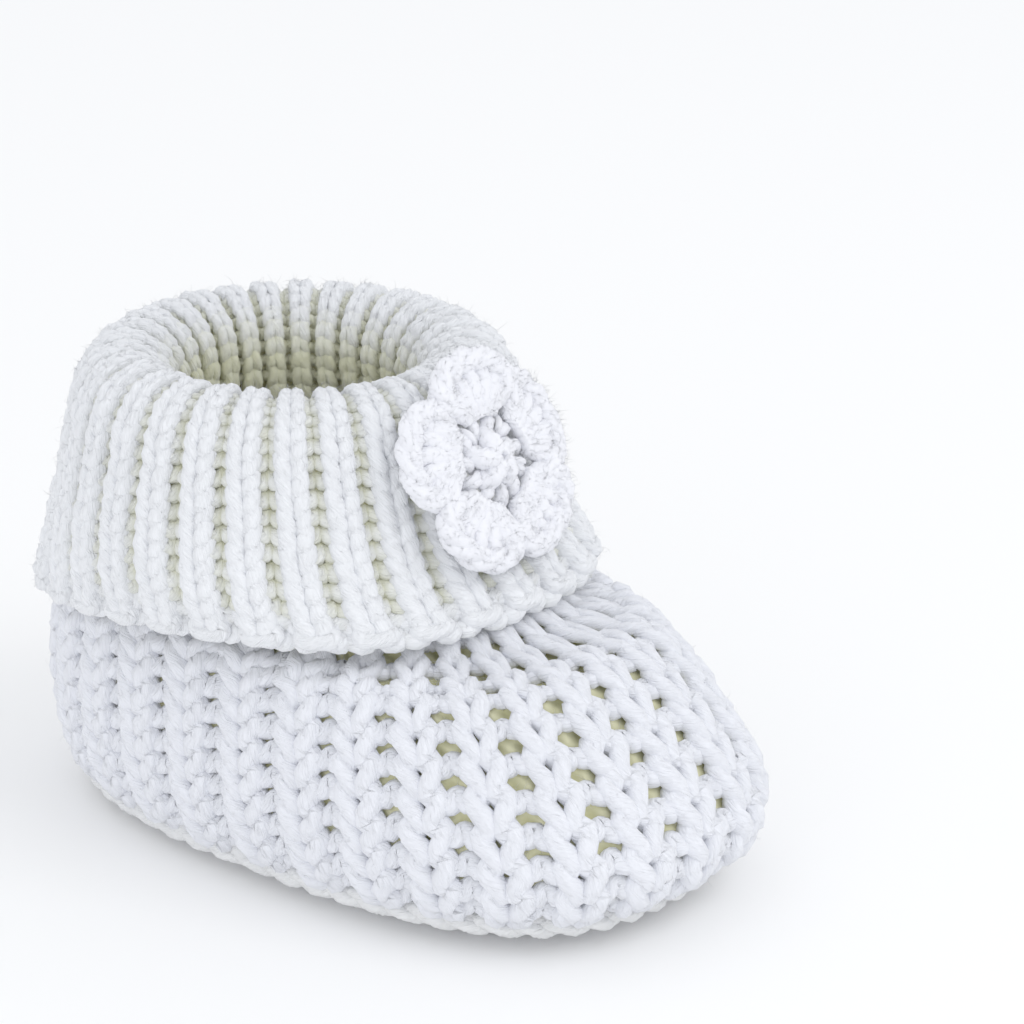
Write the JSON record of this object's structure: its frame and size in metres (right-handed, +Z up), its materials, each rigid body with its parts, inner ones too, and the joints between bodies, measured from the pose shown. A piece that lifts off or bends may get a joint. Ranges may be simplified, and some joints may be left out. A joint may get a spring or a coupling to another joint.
{
  "type": "baby bootie",
  "caption": "Hand-knitted newborn bootie with a rounded toe, a ribbed ankle turned down as a deep cuff, and a crocheted flower sewn on its front.",
  "frame": {"origin": "on the ground under the middle of the bootie's bounding box", "axes": "+Z up, the toe towards -Y and the heel towards +Y, symmetric about X = 0"},
  "size_m": [0.0654, 0.1021, 0.0642],
  "materials": {
    "sole_knit": "knitted acrylic yarn, slightly cream",
    "upper_knit": "knitted acrylic yarn, white",
    "rib_knit": "ribbed knitted acrylic yarn, white",
    "seam_yarn": "sewing stitches in the same yarn",
    "flower_yarn": "fuzzy crocheted yarn, white"
  },
  "bodies": {
    "root": {"sole": "sole_knit", "foot_upper": "upper_knit", "sole_seam": "seam_yarn", "heel_seam": "seam_yarn", "ankle_tube": "rib_knit", "cuff_rim": "rib_knit", "turned_cuff": "rib_knit", "cuff_bind_off": "rib_knit", "woven_tail": "seam_yarn", "flower_ring": "flower_yarn", "flower_bobble": "flower_yarn", "flower_stitches": "seam_yarn"},
    "petal_1_body": {"petal_1": "flower_yarn"},
    "petal_2_body": {"petal_2": "flower_yarn"},
    "petal_3_body": {"petal_3": "flower_yarn"},
    "petal_4_body": {"petal_4": "flower_yarn"},
    "petal_5_body": {"petal_5": "flower_yarn"}
  },
  "joints": [
    {"name": "petal_1_lift", "type": "hinge", "parent": "root", "child": "petal_1_body", "pos_m": [0, -0.01478, 0.05873], "axis": [1, 0, 0], "range_deg": [0, 30], "stiffness_Nm_per_rad": 0.002},
    {"name": "petal_2_lift", "type": "hinge", "parent": "root", "child": "petal_2_body", "pos_m": [-0.0063, -0.01631, 0.05509], "axis": [0.309, 0.3868, 0.8688], "range_deg": [0, 30], "stiffness_Nm_per_rad": 0.002},
    {"name": "petal_3_lift", "type": "hinge", "parent": "root", "child": "petal_3_body", "pos_m": [-0.00376, -0.01929, 0.04851], "axis": [-0.809, 0.2391, 0.537], "range_deg": [0, 30], "stiffness_Nm_per_rad": 0.002},
    {"name": "petal_4_lift", "type": "hinge", "parent": "root", "child": "petal_4_body", "pos_m": [0.00376, -0.01929, 0.04851], "axis": [-0.809, -0.2391, -0.537], "range_deg": [0, 30], "stiffness_Nm_per_rad": 0.002},
    {"name": "petal_5_lift", "type": "hinge", "parent": "root", "child": "petal_5_body", "pos_m": [0.0063, -0.01631, 0.05509], "axis": [0.309, -0.3868, -0.8688], "range_deg": [0, 30], "stiffness_Nm_per_rad": 0.002}
  ]
}
